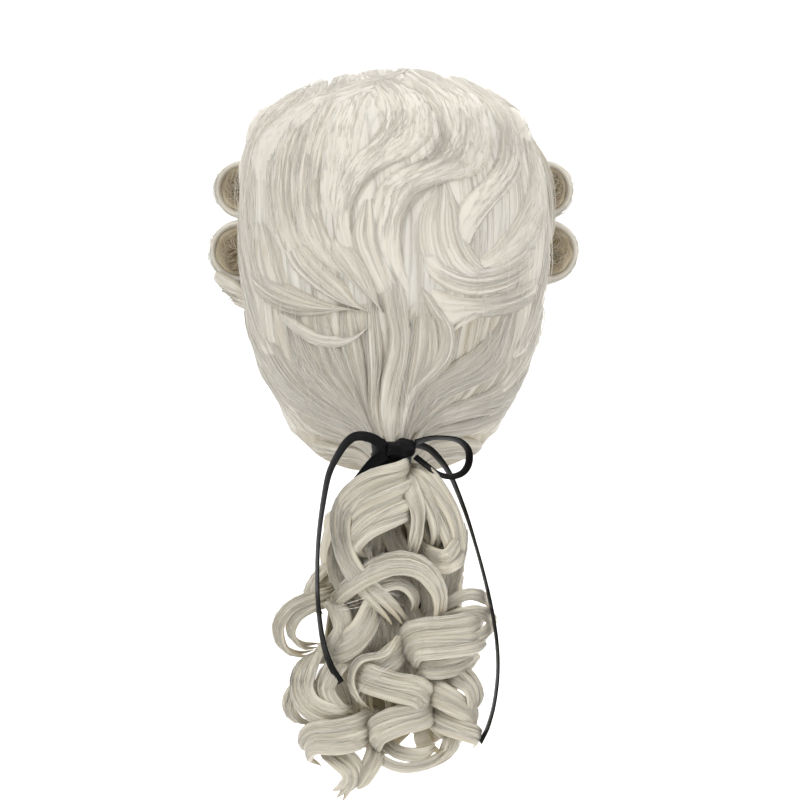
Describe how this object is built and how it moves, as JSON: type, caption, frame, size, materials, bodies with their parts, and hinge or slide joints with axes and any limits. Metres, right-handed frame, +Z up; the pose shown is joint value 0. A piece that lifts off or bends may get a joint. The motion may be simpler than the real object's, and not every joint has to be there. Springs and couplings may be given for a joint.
{
  "type": "powdered wig",
  "caption": "White powdered wig with swept waves, rolled side curls and a ringlet queue tied at the nape with a black satin ribbon bow.",
  "frame": {"origin": "the seat on top of the head: the highest point of the hollow, where the crown of the head presses", "axes": "+Z up, the long way of the wig; +Y the way the wearer faces, so the back and its queue look along -Y; +X the wearer's right"},
  "size_m": [0.2403, 0.2448, 0.4671],
  "materials": {
    "hair": "soft sheen",
    "roll_hair": "soft sheen",
    "ribbon": "satin"
  },
  "bodies": {
    "root": {"hair_shell": "hair", "left_upper_roll": "roll_hair", "left_lower_roll": "roll_hair", "right_upper_roll": "roll_hair", "right_lower_roll": "roll_hair", "queue": "hair", "ribbon_band": "ribbon", "ribbon_knot": "ribbon", "bow_loop_right": "ribbon", "bow_loop_left": "ribbon", "ribbon_tail_left": "ribbon", "ribbon_tail_right": "ribbon"}
  },
  "joints": []
}
